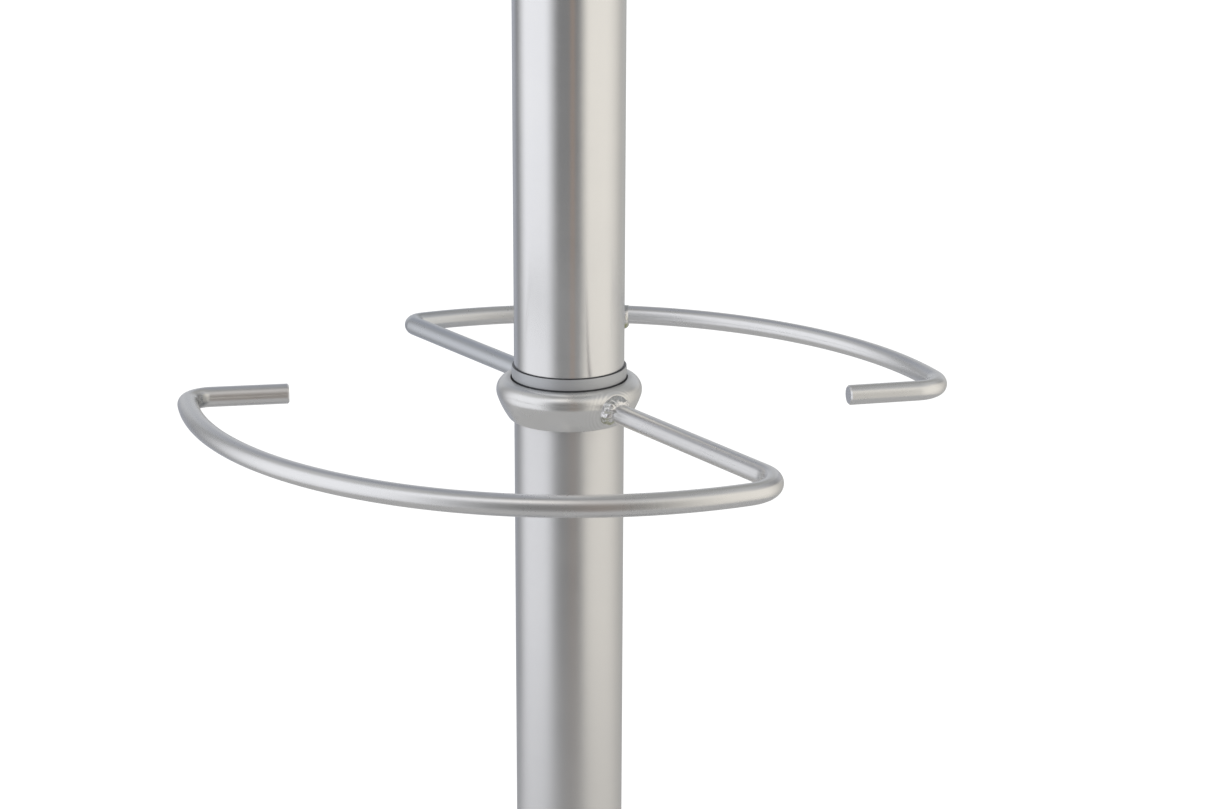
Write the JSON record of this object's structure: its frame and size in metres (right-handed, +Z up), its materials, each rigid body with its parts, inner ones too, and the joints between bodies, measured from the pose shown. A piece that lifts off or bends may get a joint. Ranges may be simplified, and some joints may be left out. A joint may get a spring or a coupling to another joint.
{
  "type": "valet stand",
  "caption": "Free-standing satin steel coat stand with a weighted round base, swivelling open rod loops for umbrellas and a swivelling crown of coat hooks.",
  "frame": {"origin": "on the floor under the middle of the pole", "axes": "+Z up along the pole; the front loop sweeps across -Y and its arm leaves the collar towards -Y and +X"},
  "size_m": [0.38, 0.38, 1.7671],
  "materials": {
    "satin_tube": "fine satin grain round the tube",
    "satin_rod": "satin, slightly duller than the tube",
    "weld_metal": "rippled weld bead, brushed over",
    "zinc_steel": "zinc plated",
    "cast_iron": "dark primer",
    "grey_plastic": "matte grey",
    "black_rubber": "matte black"
  },
  "bodies": {
    "stand": {"base_weight": "cast_iron", "base_cover": "satin_tube", "base_rosette": "satin_tube", "base_bolt": "zinc_steel", "base_spring_washer": "zinc_steel", "base_washer": "zinc_steel", "floor_pad_1": "black_rubber", "floor_pad_2": "black_rubber", "floor_pad_3": "black_rubber", "floor_pad_4": "black_rubber", "floor_pad_5": "black_rubber", "floor_pad_6": "black_rubber", "lower_tube": "satin_tube", "lower_tube_bottom_plug": "zinc_steel", "lower_tube_top_plug": "zinc_steel", "umbrella_slip_washer": "grey_plastic", "umbrella_joint_ring": "grey_plastic", "umbrella_joint_stud": "zinc_steel", "middle_tube": "satin_tube", "middle_tube_bottom_plug": "zinc_steel", "middle_tube_top_plug": "zinc_steel", "plain_joint_ring": "grey_plastic", "plain_joint_stud": "zinc_steel", "upper_tube": "satin_tube", "upper_tube_bottom_plug": "zinc_steel", "upper_tube_top_plug": "zinc_steel", "crown_slip_washer": "grey_plastic", "crown_joint_ring": "grey_plastic", "crown_joint_stud": "zinc_steel", "top_cap": "satin_tube"},
    "umbrella_ring": {"umbrella_collar": "satin_rod", "front_loop": "satin_rod", "front_loop_weld": "weld_metal", "rear_loop": "satin_rod", "rear_loop_weld": "weld_metal", "rear_loop_seam_weld": "weld_metal"},
    "hook_crown": {"hook_collar": "satin_rod", "coat_hook_1": "satin_rod", "coat_hook_2": "satin_rod", "coat_hook_3": "satin_rod", "coat_hook_4": "satin_rod", "coat_hook_weld_1": "weld_metal", "coat_hook_weld_2": "weld_metal", "coat_hook_weld_3": "weld_metal", "coat_hook_weld_4": "weld_metal"}
  },
  "joints": [
    {"name": "umbrella_ring_swivel", "type": "hinge", "parent": "stand", "child": "umbrella_ring", "pos_m": [0, 0, 0.59], "axis": [0, 0, 1], "continuous": true},
    {"name": "hook_crown_swivel", "type": "hinge", "parent": "stand", "child": "hook_crown", "pos_m": [0, 0, 1.7], "axis": [0, 0, 1], "continuous": true}
  ]
}
